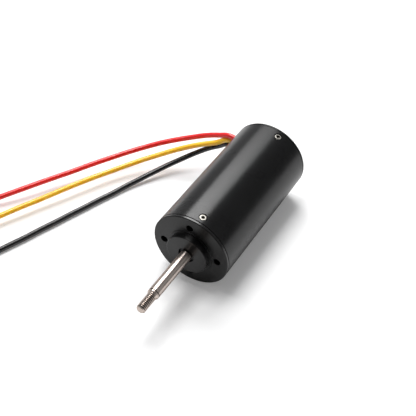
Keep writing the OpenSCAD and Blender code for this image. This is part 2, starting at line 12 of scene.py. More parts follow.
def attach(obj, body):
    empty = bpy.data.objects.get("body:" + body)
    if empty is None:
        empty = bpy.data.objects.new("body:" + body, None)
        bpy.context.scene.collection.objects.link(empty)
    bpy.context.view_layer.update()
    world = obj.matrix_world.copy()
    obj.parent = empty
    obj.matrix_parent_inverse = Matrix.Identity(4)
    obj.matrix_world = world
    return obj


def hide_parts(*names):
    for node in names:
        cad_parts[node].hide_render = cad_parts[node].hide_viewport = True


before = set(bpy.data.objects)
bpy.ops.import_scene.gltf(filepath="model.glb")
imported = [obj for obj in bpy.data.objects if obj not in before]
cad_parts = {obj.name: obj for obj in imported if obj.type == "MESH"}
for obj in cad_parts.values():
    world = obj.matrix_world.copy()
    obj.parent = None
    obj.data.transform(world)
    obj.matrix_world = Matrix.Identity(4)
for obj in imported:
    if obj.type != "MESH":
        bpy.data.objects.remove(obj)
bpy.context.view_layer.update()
scene = bpy.context.scene
scene.view_settings.view_transform = "Standard"
MM = 0.001


# Camera. It stands to the front right of the motor and looks down on it at 44 degrees from a
# little over half a metre, through a lens of short telephoto length.

LENS = 70.5
AZIMUTH = math.radians(30.99)
ELEVATION = math.radians(44.38)
DISTANCE = 562.5
STEP_LEFT = 16.69
STEP_DOWN = 5.52
BODY_MIDDLE = Vector((0, 55, 0)) * MM


def placed(x, y, z, spot):
    """Matrix of something at a spot, whose own axes point along x, y and z."""
    return Matrix.Translation(spot) @ Matrix((x, y, z)).transposed().to_4x4()


away = Vector((
    math.sin(AZIMUTH) * math.cos(ELEVATION),
    -math.cos(AZIMUTH) * math.cos(ELEVATION),
    math.sin(ELEVATION),
))
right = Vector((math.cos(AZIMUTH), math.sin(AZIMUTH), 0))
up = away.cross(right)
stand = BODY_MIDDLE + (away * DISTANCE - right * STEP_LEFT - up * STEP_DOWN) * MM
lens = bpy.data.cameras.new("camera")
lens.sensor_width = 36
lens.lens = LENS
lens.clip_start = 0.01
camera = bpy.data.objects.new("camera", lens)
camera.matrix_world = placed(right, up, away, stand)
scene.collection.objects.link(camera)
scene.camera = camera


# Table. A seamless white sheet under the motor, lit from above. It shows white where the light
# is open, also far from the lamps, and keeps the soft grey shadows of the motor and the leads.

FLOOR_Z = -28.0
HALF_SHEET = 4
PAPER_WHITE = (0.86, 0.86, 0.86, 1)
# The lamps fade out between these two distances from the motor. A glow that only the camera sees
# grows from one strength to the other there, and makes up for it.
LAMP_REACH = (0.55, 1.2)
CAMERA_LIFT = (0.16, 0.95)


def feed(tree, socket, value):
    """Sets a socket to a plain number, or links another socket to it."""
    if isinstance(value, (int, float)):
        socket.default_value = value
    else:
        tree.links.new(value, socket)


def number(tree, operation, *values):
    """Math node whose inputs are sockets or plain numbers."""
    node = tree.nodes.new("ShaderNodeMath")
    node.operation = operation
    for socket, value in zip(node.inputs, values):
        feed(tree, socket, value)
    return node.outputs[0]


def stretch(tree, value, low, high, to_low, to_high):
    """Takes one range of numbers to another and stops at its ends."""
    node = tree.nodes.new("ShaderNodeMapRange")
    for socket, end in zip(node.inputs, (value, low, high, to_low, to_high)):
        feed(tree, socket, end)
    return node.outputs["Result"]


floor_mesh = bpy.data.meshes.new("table")
sheet = bmesh.new()
bmesh.ops.create_grid(sheet, x_segments=1, y_segments=1, size=HALF_SHEET)
bmesh.ops.translate(sheet, verts=sheet.verts, vec=(0, 0, FLOOR_Z * MM))
sheet.to_mesh(floor_mesh)
sheet.free()
table = bpy.data.objects.new("table", floor_mesh)
scene.collection.objects.link(table)

white_paper = bpy.data.materials.new("white_paper")
white_paper.use_nodes = True
paper = white_paper.node_tree
pulp = paper.nodes["Principled BSDF"]
pulp.inputs["Base Color"].default_value = PAPER_WHITE
pulp.inputs["Roughness"].default_value = 0.9
pulp.inputs["Specular IOR Level"].default_value = 0.1
ground = paper.nodes.new("ShaderNodeTexCoord")
off_centre = paper.nodes.new("ShaderNodeVectorMath")
off_centre.operation = "LENGTH"
paper.links.new(ground.outputs["Object"], off_centre.inputs[0])
lift = stretch(paper, off_centre.outputs["Value"], *LAMP_REACH, *CAMERA_LIFT)
rays = paper.nodes.new("ShaderNodeLightPath")
glow = paper.nodes.new("ShaderNodeEmission")
glow.inputs["Color"].default_value = (1, 1, 1, 1)
feed(paper, glow.inputs["Strength"],
     number(paper, "MULTIPLY", rays.outputs["Is Camera Ray"], lift))
both = paper.nodes.new("ShaderNodeAddShader")
paper.links.new(pulp.outputs[0], both.inputs[0])
paper.links.new(glow.outputs[0], both.inputs[1])
paper.links.new(both.outputs[0], paper.nodes["Material Output"].inputs["Surface"])
floor_mesh.materials.append(white_paper)


# Light. A soft box hangs almost straight above, a little to the left and the rear, and a wider
# one behind the motor gives the tube its long streak. A weak narrow one on the right lights the
# flank of the shaft. The room is dim and paler on the left, and plain white to the camera.

ROOM_WHITE = (0.98, 0.985, 1, 1)
# The room's light grows from one level to the other as a ray turns towards its pale side, over
# this range of the cosine between them.
PALE_SIDE = Vector((-0.85, 0.35, 0.4)).normalized()
PALE_TURN = (-0.2, 1.0)
ROOM_LEVEL = (0.12, 0.5)
BOX_DISTANCE = 1.3

room = bpy.data.worlds.new("white_room")
scene.world = room
room.use_nodes = True
sky = room.node_tree
backdrop = sky.nodes["Background"]
backdrop.inputs["Color"].default_value = ROOM_WHITE
view_ray = sky.nodes.new("ShaderNodeTexCoord")
facing = sky.nodes.new("ShaderNodeVectorMath")
facing.operation = "DOT_PRODUCT"
facing.inputs[1].default_value = PALE_SIDE
sky.links.new(view_ray.outputs["Generated"], facing.inputs[0])
dim = stretch(sky, facing.outputs["Value"], *PALE_TURN, *ROOM_LEVEL)
rays = sky.nodes.new("ShaderNodeLightPath")
seen = number(sky, "MAXIMUM", rays.outputs["Is Camera Ray"], rays.outputs["Is Transmission Ray"])
feed(sky, backdrop.inputs["Strength"], number(sky, "MAXIMUM", seen, dim))


def soft_box(name, direction, width, length, watts):
    """Area lamp that faces the middle of the motor, its length in line with the shaft."""
    lamp = bpy.data.lights.new(name, "AREA")
    lamp.shape = "RECTANGLE"
    lamp.size = width
    lamp.size_y = length
    lamp.energy = watts
    box = bpy.data.objects.new(name, lamp)
    towards = Vector(direction).normalized()
    along = (Vector((0, 1, 0)) - towards * towards.y).normalized()
    across = along.cross(towards)
    box.matrix_world = placed(across, along, towards, BODY_MIDDLE + towards * BOX_DISTANCE)
    scene.collection.objects.link(box)


soft_box("overhead_box", (-0.26, 0.05, 1.0), width=0.55, length=0.5, watts=9)
soft_box("rear_box", (-0.3, 0.5, 0.8), width=0.94, length=0.46, watts=12.2)
soft_box("side_card", (0.8, 0.2, 0.56), width=0.8, length=0.32, watts=1.0)


# Leads. Three stranded leads in silicone, red, yellow and black, come out side by side near the
# tube's rear end and sink towards the table as they run forward and left. Black lies almost on
# it, and red and yellow hang a few millimetres above. Their routes are those of the solids.

LEAD_D = 4.0
OUTLET_ANGLE = 172
OUTLET_Y = 105.2
LEAD_PITCH = 4.2
# Distances from the shaft's axis of the points where a lead runs straight through the outlet,
# and of the place where it leaves the tube.
STRAIGHT_R = (18.6, 25, 32)

# Each lead's row in the outlet, counted up from the middle one, and the points that it follows
# from there.
LEAD_ROUTES = {
    "red": (1, [
        (-40, 106, 5), (-51, 105.5, 0.5), (-62, 102, -3.5), (-72, 97, -6.5), (-82, 91, -9.5),
        (-91.5, 84, -12.5), (-100, 75.5, -14.5), (-107.5, 66.5, -16), (-114.5, 57, -17),
        (-121.5, 47, -18), (-127.5, 37, -18.5), (-134, 27, -19), (-140, 16.5, -19),
        (-146.5, 6, -19.5), (-153, -3.5, -20.5), (-160, -13, -22), (-166, -23, -23.5),
        (-171, -34, -24.6), (-174, -41, -24.6), (-177, -48, -24.6),
    ]),
    "yellow": (0, [
        (-41, 102.5, 0), (-51.5, 98.5, -3.5), (-61.5, 93.5, -7), (-71, 87.5, -10.5),
        (-80, 80, -13.5), (-88.5, 72, -16), (-96.5, 62.5, -18), (-103, 53, -19),
        (-109, 42.5, -19), (-114.5, 32, -19), (-120, 21, -19), (-125.5, 10.5, -19.5),
        (-131, 0, -20), (-136.5, -11, -20), (-142, -21.5, -20.5), (-147.5, -32, -21.5),
        (-152.5, -43, -23), (-157, -54, -24.6), (-160, -61, -24.6), (-163, -68, -24.6),
    ]),
    "black": (-1, [
        (-39.5, 104.5, -4), (-46, 102, -7), (-55, 97, -12), (-63, 89.5, -16),
        (-70.5, 81, -19.5), (-77, 71, -22), (-83, 60.5, -24), (-88, 50, -25),
        (-92.5, 38.5, -25.5), (-97, 27.5, -25.5), (-101, 16.5, -25.5), (-105.5, 5, -25.5),
        (-109.5, -6, -25.5), (-114, -17.5, -25.5), (-118, -28.5, -25.5), (-122.5, -39.5, -25.5),
        (-127, -50.5, -25.5), (-131.5, -61.5, -25), (-135.5, -72, -24.6), (-138.5, -79, -24.6),
        (-141.5, -86, -24.6),
    ]),
}


def outlet_point(radius, row):
    """Point of a lead inside the outlet, at a distance from the shaft's axis."""
    angle = math.radians(OUTLET_ANGLE)
    side = row * LEAD_PITCH
    return (
        radius * math.cos(angle) + side * math.sin(angle),
        OUTLET_Y,
        radius * math.sin(angle) - side * math.cos(angle),
    )


def whole_route(colour):
    """Points of a lead from its ferrule, straight through the outlet and on to its end."""
    row, free = LEAD_ROUTES[colour]
    return [outlet_point(radius, row) for radius in STRAIGHT_R] + free


def new_group(name, inputs, outputs):
    """Empty shader group with named sockets: (label, kind, start value) and (label, kind)."""
    group = bpy.data.node_groups.new(name, "ShaderNodeTree")
    for label, kind, value in inputs:
        socket = group.interface.new_socket(label, in_out="INPUT", socket_type=kind)
        if value is not None:
            socket.default_value = value
    for label, kind in outputs:
        group.interface.new_socket(label, in_out="OUTPUT", socket_type=kind)
    return group, group.nodes.new("NodeGroupInput"), group.nodes.new("NodeGroupOutput")


def noise(tree, vector, size, detail, roughness):
    """Noise whose spots have a size in millimetres, which is given by a socket."""
    node = tree.nodes.new("ShaderNodeTexNoise")
    node.inputs["Detail"].default_value = detail
    node.inputs["Roughness"].default_value = roughness
    tree.links.new(vector, node.inputs["Vector"])
    tree.links.new(number(tree, "DIVIDE", 1 / MM, size), node.inputs["Scale"])
    return node.outputs["Fac"]


def skin_group():
    """Slow patches and fine grain that every finish has, in sizes given in millimetres."""
    group, start, end = new_group("skin", [
        ("Vector", "NodeSocketVector", None),
        ("Dark", "NodeSocketColor", (0.1, 0.1, 0.1, 1)),
        ("Light", "NodeSocketColor", (0.2, 0.2, 0.2, 1)),
        ("Patch", "NodeSocketFloat", 12.0),
        ("Grain", "NodeSocketFloat", 0.4),
        ("Smooth", "NodeSocketFloat", 0.3),
        ("Dull", "NodeSocketFloat", 0.5),
    ], [
        ("Color", "NodeSocketColor"),
        ("Roughness", "NodeSocketFloat"),
        ("Height", "NodeSocketFloat"),
    ])
    given = start.outputs
    patch_weight, grain_weight = 0.65, 0.35
    patches = noise(group, given["Vector"], given["Patch"], detail=2.0, roughness=0.55)
    grains = noise(group, given["Vector"], given["Grain"], detail=4.0, roughness=0.6)
    patch_share = number(group, "MULTIPLY", stretch(group, patches, 0.3, 0.7, 0, 1),
                         patch_weight)
    blend = number(group, "MULTIPLY_ADD", stretch(group, grains, 0.3, 0.7, 0, 1), grain_weight,
                   patch_share)
    mix = group.nodes.new("ShaderNodeMix")
    mix.data_type = "RGBA"
    colour_a, colour_b = mix.inputs[6], mix.inputs[7]
    mixed = mix.outputs[2]
    group.links.new(blend, mix.inputs["Factor"])
    group.links.new(given["Dark"], colour_a)
    group.links.new(given["Light"], colour_b)
    group.links.new(mixed, end.inputs["Color"])
    group.links.new(stretch(group, blend, 0.15, 0.85, given["Smooth"], given["Dull"]),
                    end.inputs["Roughness"])
    group.links.new(grains, end.inputs["Height"])
    return group


SKIN = skin_group()


def finish(name, dark, light, smooth, dull, patch, grain, relief, **uniform):
    """Material with the shared skin. Other values go straight to the shader's own sockets."""
    material = bpy.data.materials.new(name)
    material.use_nodes = True
    tree = material.node_tree
    shader = tree.nodes["Principled BSDF"]
    place = tree.nodes.new("ShaderNodeTexCoord")
    skin = tree.nodes.new("ShaderNodeGroup")
    skin.name = "skin"
    skin.node_tree = SKIN
    skin.inputs["Dark"].default_value = (*dark, 1)
    skin.inputs["Light"].default_value = (*light, 1)
    skin.inputs["Patch"].default_value = patch
    skin.inputs["Grain"].default_value = grain
    skin.inputs["Smooth"].default_value = smooth
    skin.inputs["Dull"].default_value = dull
    bump = tree.nodes.new("ShaderNodeBump")
    bump.name = "relief"
    bump.inputs["Distance"].default_value = relief * MM
    tree.links.new(place.outputs["Object"], skin.inputs["Vector"])
    tree.links.new(skin.outputs["Color"], shader.inputs["Base Color"])
    tree.links.new(skin.outputs["Roughness"], shader.inputs["Roughness"])
    tree.links.new(skin.outputs["Height"], bump.inputs["Height"])
    tree.links.new(bump.outputs["Normal"], shader.inputs["Normal"])
    for socket, value in uniform.items():
        shader.inputs[socket.replace("_", " ")].default_value = value
    return material


def silicone(colour, dark, light, smooth, dull, **uniform):
    """Smooth rubber skin of a lead."""
    return finish(colour + "_silicone", dark, light, smooth, dull,
                  patch=9, grain=0.8, relief=0.001, **uniform)


SILICONE = {
    "red": silicone("red", (0.74, 0.003, 0.004), (0.82, 0.006, 0.007), 0.28, 0.34,
                    Specular_IOR_Level=0.75, Subsurface_Weight=0.5, Subsurface_Scale=MM,
                    Subsurface_Radius=(1.5, 0.2, 0.2)),
    "yellow": silicone("yellow", (0.95, 0.53, 0.004), (1.0, 0.60, 0.01), 0.28, 0.34,
                       Specular_IOR_Level=0.85, Subsurface_Weight=0.9, Subsurface_Scale=MM,
                       Subsurface_Radius=(2.5, 2, 0.2)),
    "black": silicone("black", (0.003, 0.003, 0.0032), (0.006, 0.006, 0.0065), 0.22, 0.28,
                      Specular_IOR_Level=0.6),
}


def lead_curve(name, points):
    """Round cord along a smooth line through its points."""
    curve = bpy.data.curves.new(name, "CURVE")
    curve.dimensions = "3D"
    curve.resolution_u = 6
    curve.bevel_depth = LEAD_D / 2 * MM
    curve.bevel_resolution = 6
    curve.use_fill_caps = True
    line = curve.splines.new("BEZIER")
    line.bezier_points.add(len(points) - 1)
    for knot, point in zip(line.bezier_points, points):
        knot.co = Vector(point) * MM
        knot.handle_left_type = "AUTO"
        knot.handle_right_type = "AUTO"
    return curve


for colour in LEAD_ROUTES:
    curve = lead_curve(colour + "_silicone_lead", whole_route(colour))
    curve.materials.append(SILICONE[colour])
    lead = bpy.data.objects.new(colour + "_silicone_lead", curve)
    scene.collection.objects.link(lead)
    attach(lead, "stator")
    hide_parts(colour + "_lead")


# Bullet connectors. Each lead ends in a turned brass connector with a gold plate: a cup that
# is soldered over the wire, a collar, and a plug with four springy leaves.

BULLET_D = 4.0
PLUG_R = BULLET_D / 2
CUP_R = 0.7 * BULLET_D
CUP_LEN = 1.6 * BULLET_D
COLLAR_LEN = BULLET_D / 4
PLUG_LEN = 2.2 * BULLET_D
LEAF_GAP = 0.45
SHARP_ANGLE = math.radians(30)


def lathe(outline, steps, closed=True):
    """Turns an outline of (radius, place along Y) about the Y axis into a shell."""
    shell = bmesh.new()
    knots = [shell.verts.new((r * MM, y * MM, 0)) for r, y in outline]
    pairs = list(zip(knots, knots[1:]))
    if closed:
        pairs.append((knots[-1], knots[0]))
    wires = [shell.edges.new(pair) for pair in pairs]
    bmesh.ops.spin(
        shell, geom=knots + wires, cent=(0, 0, 0), axis=(0, 1, 0), dvec=(0, 0, 0),
        angle=2 * math.pi, steps=steps, use_merge=True, use_normal_flip=False,
        use_duplicate=False,
    )
    bmesh.ops.remove_doubles(shell, verts=shell.verts[:], dist=1e-7)
    bmesh.ops.recalc_face_normals(shell, faces=shell.faces[:])
    return shell


def soften(shell, width, angle, segments=2):
    """Rounds every edge that is sharper than an angle in degrees."""
    sharp = [
        edge for edge in shell.edges
        if len(edge.link_faces) == 2 and edge.calc_face_angle() > math.radians(angle)
    ]
    bmesh.ops.bevel(
        shell, geom=sharp, offset=width * MM, offset_type="OFFSET", segments=segments,
        profile=0.5, affect="EDGES", clamp_overlap=True, material=-1,
    )


def carve(shell, tool):
    """Takes a closed tool out of a closed shell."""
    held = []
    for name, form in (("shell", shell), ("tool", tool)):
        mesh = bpy.data.meshes.new(name)
        form.to_mesh(mesh)
        form.free()
        thing = bpy.data.objects.new(name, mesh)
        scene.collection.objects.link(thing)
        held.append(thing)
    cut = held[0].modifiers.new("cut", "BOOLEAN")
    cut.operation = "DIFFERENCE"
    cut.solver = "EXACT"
    cut.object = held[1]
    result = bmesh.new()
    result.from_object(held[0], bpy.context.evaluated_depsgraph_get())
    for thing in held:
        mesh = thing.data
        bpy.data.objects.remove(thing)
        bpy.data.meshes.remove(mesh)
    return result


def add_piece(name, shell, materials, body, node):
    """Makes a piece of a shell, which rides on a body and stands for a node."""
    mesh = bpy.data.meshes.new(name)
    shell.to_mesh(mesh)
    shell.free()
    mesh.shade_smooth()
    mesh.set_sharp_from_angle(angle=SHARP_ANGLE)
    for material in materials:
        mesh.materials.append(material)
    piece = bpy.data.objects.new(name, mesh)
    scene.collection.objects.link(piece)
    flat = piece.modifiers.new("face_normals", "WEIGHTED_NORMAL")
    flat.keep_sharp = True
    flat.weight = 100
    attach(piece, body)
    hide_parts(node)


def at_lead_end(colour):
    """Frame at the end of a lead, with Y along it and Z up."""
    before, last = (Vector(point) for point in LEAD_ROUTES[colour][1][-2:])
    ahead = (last - before).normalized()
    upward = Vector((0, 0, 1))
    return placed(ahead.cross(upward), ahead, upward, last * MM)


GOLD = finish("gold_plate", (0.72, 0.47, 0.13), (0.86, 0.62, 0.22), 0.16, 0.3,
              patch=4, grain=0.15, relief=0.003, Metallic=1.0)


def bullet():
    """Cup, collar and plug in line along Y, with the plug slit into four leaves."""
    plug_y = CUP_LEN + COLLAR_LEN
    tip_y = plug_y + PLUG_LEN
    slit_y = plug_y + 1.4
    collar_r = CUP_R + 0.2
    neck_r = PLUG_R * 0.8
    body = lathe([
        (0, 0.02), (CUP_R, 0.02), (CUP_R, CUP_LEN), (collar_r, CUP_LEN), (collar_r, plug_y),
        (neck_r, plug_y), (neck_r, plug_y + 0.8), (PLUG_R * 0.94, plug_y + 1.6),
        (PLUG_R, plug_y + 3.6), (PLUG_R * 0.98, tip_y - 2.6), (PLUG_R * 0.86, tip_y - 1.0),
        (PLUG_R * 0.5, tip_y - 0.05), (0, tip_y),
    ], 64, closed=False)
    for turn in (45, 135):
        saw = bmesh.new()
        bmesh.ops.create_cube(saw, size=1)
        bmesh.ops.scale(saw, verts=saw.verts,
                        vec=(3 * BULLET_D * MM, PLUG_LEN * MM, LEAF_GAP * MM))
        bmesh.ops.translate(saw, verts=saw.verts,
                            vec=(0, (slit_y + PLUG_LEN / 2) * MM, 0))
        bmesh.ops.rotate(saw, verts=saw.verts, cent=(0, 0, 0),
                         matrix=Matrix.Rotation(math.radians(turn), 3, "Y"))
        body = carve(body, saw)
    soften(body, 0.06, angle=40)
    return body


for colour in LEAD_ROUTES:
    plug = bullet()
    bmesh.ops.transform(plug, matrix=at_lead_end(colour), verts=plug.verts)
    add_piece(colour + "_bullet", plug, [GOLD], "stator", colour + "_connector")


# Heat-shrink sleeves. A length of black tubing is shrunk over each solder cup and the last of
# the lead, so it steps from the lead's size to the cup's in a soft cone with faint creases.

SLEEVE_WALL = 0.5
SLEEVE_BACK = 6.0
SLEEVE_FIT = 0.06

SHRUNK = finish("shrunk_tubing", (0.012, 0.012, 0.013), (0.022, 0.022, 0.023), 0.42, 0.6,
                patch=5, grain=0.3, relief=0.03)


def sleeve():
    """Shrunk tube along Y, with its narrow end behind the end of the lead."""
    lead_r = LEAD_D / 2 + SLEEVE_FIT
    cup_r = CUP_R + SLEEVE_FIT
    lead_out = lead_r + SLEEVE_WALL
    cup_out = cup_r + SLEEVE_WALL
    mouth_y = CUP_LEN - COLLAR_LEN
    outer = [
        (lead_r + SLEEVE_WALL * 0.9, -SLEEVE_BACK), (lead_out, -SLEEVE_BACK + 0.3),
        (lead_out, -2.6), (lead_out + 0.12, -1.7), (lead_out + 0.42, -0.8),
        (cup_out - 0.1, -0.1), (cup_out, 0.6), (cup_out, 3.4), (cup_out - 0.04, mouth_y),
    ]
    inner = [
        (cup_r, mouth_y), (cup_r, 0), (lead_r + 0.3, -0.9), (lead_r, -1.9),
        (lead_r, -SLEEVE_BACK),
    ]
    tubing = lathe(outer + inner, 64)
    soften(tubing, 0.1, angle=50)
    return tubing


for colour in LEAD_ROUTES:
    tubing = sleeve()
    bmesh.ops.transform(tubing, matrix=at_lead_end(colour), verts=tubing.verts)
    add_piece(colour + "_sleeve", tubing, [SHRUNK], "stator", colour + "_heat_shrink")


# Housing tube. Extruded aluminium tube, turned outside, with a countersunk hole for each screw and
# a slot at its rear end for the leads. It has a satin black anodised skin with the faint rings of
# the lathe under it. Its cut faces, the countersinks, the slot, the end chamfers and the inside,
# are near black and matte: painted shade in the gaps round the screws and in the seams with the
# caps.

BODY_R = 28.0
TUBE_IN_R = 25.0
TUBE_Y = (2.0, 108.0)
FRONT_SCREWS = (7.0, (78, 198, 318))
REAR_SCREWS = (103.0, (71, 201, 301))
SCREW_HOLE_R = 1.55
SINK_R = 3.0
SINK_DEPTH = 1.5
SLOT_W = 14.94
SLOT_Y = 101.98
SLOT_CORNER = 1.2


def lathe_marks_group():
    """Rings that a turning tool leaves: they follow the radius and the length, not the turn."""
    group, start, end = new_group("lathe_marks", [
        ("Vector", "NodeSocketVector", None),
        ("Spacing", "NodeSocketFloat", 0.1),
    ], [("Height", "NodeSocketFloat")])
    split = group.nodes.new("ShaderNodeSeparateXYZ")
    group.links.new(start.outputs["Vector"], split.inputs[0])
    x, y, z = split.outputs
    radius = number(group, "SQRT", number(group, "ADD", number(group, "MULTIPLY", x, x),
                                          number(group, "MULTIPLY", z, z)))
    profile = group.nodes.new("ShaderNodeCombineXYZ")
    group.links.new(radius, profile.inputs[0])
    group.links.new(y, profile.inputs[1])
    rings = noise(group, profile.outputs[0], start.outputs["Spacing"], detail=2.0,
                  roughness=0.7)
    group.links.new(rings, end.inputs["Height"])
    return group


LATHE_MARKS = lathe_marks_group()


def turned(material, spacing, depth, drawn_out=0.75):
    """Adds the lathe's rings to a finish, which also draw its highlights out across them."""
    tree = material.node_tree
    shader = tree.nodes["Principled BSDF"]
    around = tree.nodes.new("ShaderNodeTangent")
    around.direction_type = "RADIAL"
    around.axis = "Y"
    tree.links.new(around.outputs["Tangent"], shader.inputs["Tangent"])
    shader.inputs["Anisotropic"].default_value = drawn_out
    shader.inputs["Anisotropic Rotation"].default_value = 0.25
    marks = tree.nodes.new("ShaderNodeGroup")
    marks.node_tree = LATHE_MARKS
    marks.inputs["Spacing"].default_value = spacing
    rings = tree.nodes.new("ShaderNodeBump")
    rings.inputs["Distance"].default_value = depth * MM
    skin = tree.nodes["skin"]
    tree.links.new(skin.inputs["Vector"].links[0].from_socket, marks.inputs["Vector"])
    tree.links.new(marks.outputs["Height"], rings.inputs["Height"])
    tree.links.new(rings.outputs["Normal"], tree.nodes["relief"].inputs["Normal"])
    return material


def anodised(name, smooth, dull, gloss):
    """Satin black skin of the motor's turned outside."""
    return turned(
        finish(name, (0.0022, 0.0022, 0.0024), (0.0034, 0.0034, 0.0037), smooth, dull,
               patch=22, grain=0.25, relief=0.003, Specular_IOR_Level=gloss),
        spacing=0.12, depth=0.0015, drawn_out=0.6,
    )


ANODISED_TUBE = anodised("anodised_tube", 0.26, 0.31, gloss=0.4)
# Near black and matte: painted shade in the countersinks, the slot and the seams at the tube's
# ends.
GAP_SHADE = finish("painted_gap_shade", (0.0008, 0.0008, 0.0008), (0.0014, 0.0014, 0.0014), 0.6, 0.7,
                  patch=8, grain=0.2, relief=0.003, Specular_IOR_Level=0.1)


def outward(angle, y, radius):
    """Frame on the side of the motor, with its Y pointing away from the shaft's axis."""
    s = math.sin(math.radians(angle))
    c = math.cos(math.radians(angle))
    return placed((s, 0, -c), (c, 0, s), (0, -1, 0),
                  (c * radius * MM, y * MM, s * radius * MM))


def gather(forms):
    """Joins several shells in one."""
    whole = bmesh.new()
    for form in forms:
        mesh = bpy.data.meshes.new("part")
        form.to_mesh(mesh)
        form.free()
        whole.from_mesh(mesh)
        bpy.data.meshes.remove(mesh)
    return whole


def ring_of(make, y, angles, radius=BODY_R):
    """Makes a form once for each angle round the motor, with its Y pointing outwards."""
    forms = []
    for angle in angles:
        form = make()
        bmesh.ops.transform(form, matrix=outward(angle, y, radius), verts=form.verts)
        forms.append(form)
    return gather(forms)


def countersink():
    """Tool for a screw's hole through the tube and the cone for its head."""
    edge_r = SINK_R + 0.1
    return lathe([
        (0, -4), (SCREW_HOLE_R, -4), (SCREW_HOLE_R, -SINK_DEPTH), (SINK_R, 0), (edge_r, 0.06),
        (edge_r, 1), (0, 1),
    ], 48, closed=False)


def lead_slot(width, y0, y1, inner, outer, corner):
    """Block in the line of the outlet whose front corners are round."""
    block = bmesh.new()
    bmesh.ops.create_cube(block, size=1)
    front = [
        edge for edge in block.edges
        if all(vert.co.z > 0 for vert in edge.verts)
        and abs(edge.verts[0].co.x - edge.verts[1].co.x) < 0.1
    ]
    bmesh.ops.scale(block, verts=block.verts,
                    vec=(width * MM, (outer - inner) * MM, (y1 - y0) * MM))
    bmesh.ops.bevel(block, geom=front, offset=corner * MM, offset_type="OFFSET", segments=8,
                    profile=0.5, affect="EDGES", material=-1)
    bmesh.ops.transform(block, verts=block.verts,
                        matrix=outward(OUTLET_ANGLE, (y0 + y1) / 2, (inner + outer) / 2))
    return block


def second_finish(shell, chosen):
    """Gives a piece's second material to faces that are chosen by their radius and place."""
    for face in shell.faces:
        middle = face.calc_center_median() / MM
        face.material_index = int(chosen(math.hypot(middle.x, middle.z), middle.y))


tube = lathe([
    (TUBE_IN_R, TUBE_Y[0]), (BODY_R - 0.3, TUBE_Y[0]), (BODY_R, TUBE_Y[0] + 0.45),
    (BODY_R, TUBE_Y[1] - 0.3), (BODY_R - 0.3, TUBE_Y[1]), (TUBE_IN_R, TUBE_Y[1]),
], 256)
soften(tube, 0.04, angle=28)
sinks = [ring_of(countersink, *screws) for screws in (FRONT_SCREWS, REAR_SCREWS)]
tube = carve(tube, gather(sinks))
tube = carve(tube, lead_slot(SLOT_W, SLOT_Y, TUBE_Y[1] + 2, inner=TUBE_IN_R - 3,
                             outer=BODY_R + 2, corner=SLOT_CORNER))
second_finish(tube, lambda radius, y: radius < BODY_R - 0.03)
add_piece("anodised_housing_tube", tube, [ANODISED_TUBE, GAP_SHADE], "stator", "housing_tube")


# Front end cap. Turned from aluminium bar: a flat face with a chamfered rim, a pilot boss that
# stands on a low ring, the seat of the front bearing, and a spigot that fills the tube's end.
# Four mounting holes are drilled and tapped in the face. Its rim was turned with the tube.

PILOT_R = 15.0
PILOT_Y = -5.0
BOSS_BORE_R = 5.75
FOOT_R = 16.5
FOOT_Y = -0.6
RIM_CHAMFER = 0.45
FLANGE_Y = TUBE_Y[0]
SPIGOT_R = 24.98
SPIGOT_IN_R = 20.98
SPIGOT_Y = 12
WEB_Y = 9
BEARING_R = 11.02
LIP_Y = -3.5
HOLE_CIRCLE_R = 20.0
HOLE_R = 2.5
HOLE_DEPTH = 8
HOLE_MOUTH_R = HOLE_R + 0.25
BORE_DEPTH = 6.6

ANODISED_RIM = anodised("anodised_rim", 0.25, 0.30, gloss=0.62)
ANODISED_FACE = turned(
    finish("anodised_face", (0.0011, 0.0011, 0.0011), (0.002, 0.002, 0.002), 0.28, 0.36,
           patch=14, grain=0.2, relief=0.003, Specular_IOR_Level=0.35),
    spacing=0.15, depth=0.003,
)


def screw_bore():
    """Tool for a tapped hole in a spigot, for a screw that comes through the tube."""
    return lathe([
        (0, -BORE_DEPTH), (SCREW_HOLE_R, -BORE_DEPTH), (SCREW_HOLE_R, 0.5), (0, 0.5),
    ], 32, closed=False)


front_cap = lathe([
    (BOSS_BORE_R, PILOT_Y + 0.2), (BOSS_BORE_R + 0.2, PILOT_Y), (PILOT_R - 0.3, PILOT_Y),
    (PILOT_R, PILOT_Y + 0.3), (PILOT_R, FOOT_Y), (FOOT_R, FOOT_Y), (FOOT_R, 0),
    (BODY_R - RIM_CHAMFER, 0), (BODY_R, RIM_CHAMFER), (BODY_R, FLANGE_Y - 0.25),
    (BODY_R - 0.25, FLANGE_Y), (SPIGOT_R, FLANGE_Y), (SPIGOT_R, SPIGOT_Y),
    (SPIGOT_IN_R, SPIGOT_Y), (SPIGOT_IN_R, WEB_Y), (BEARING_R, WEB_Y), (BEARING_R, LIP_Y),
    (BOSS_BORE_R, LIP_Y),
], 256)
soften(front_cap, 0.1, angle=35, segments=3)
drills = []
for turn in range(4):
    drill = lathe([
        (0, -HOLE_DEPTH - 0.7), (HOLE_R - 0.1, -HOLE_DEPTH), (HOLE_R, -HOLE_DEPTH),
        (HOLE_R, -0.2), (HOLE_MOUTH_R, 0.05), (HOLE_MOUTH_R, 1), (0, 1),
    ], 48, closed=False)
    place = Matrix.Translation((HOLE_CIRCLE_R * MM, 0, 0)) @ Matrix.Rotation(math.pi, 4, "Z")
    place = Matrix.Rotation(math.radians(90 * turn), 4, "Y") @ place
    bmesh.ops.transform(drill, matrix=place, verts=drill.verts)
    drills.append(drill)
front_cap = carve(front_cap, gather(drills))
front_cap = carve(front_cap, ring_of(screw_bore, *FRONT_SCREWS))
second_finish(front_cap, lambda radius, y: y < FLANGE_Y - 0.1 and radius > BODY_R - 0.05)
add_piece("turned_front_cap", front_cap, [ANODISED_FACE, ANODISED_RIM], "stator",
          "front_end_cap")


# Rear end cap. The same bar and finish, with a plain face, a hole round the end of the shaft,
# and a window through its spigot where the leads pass.

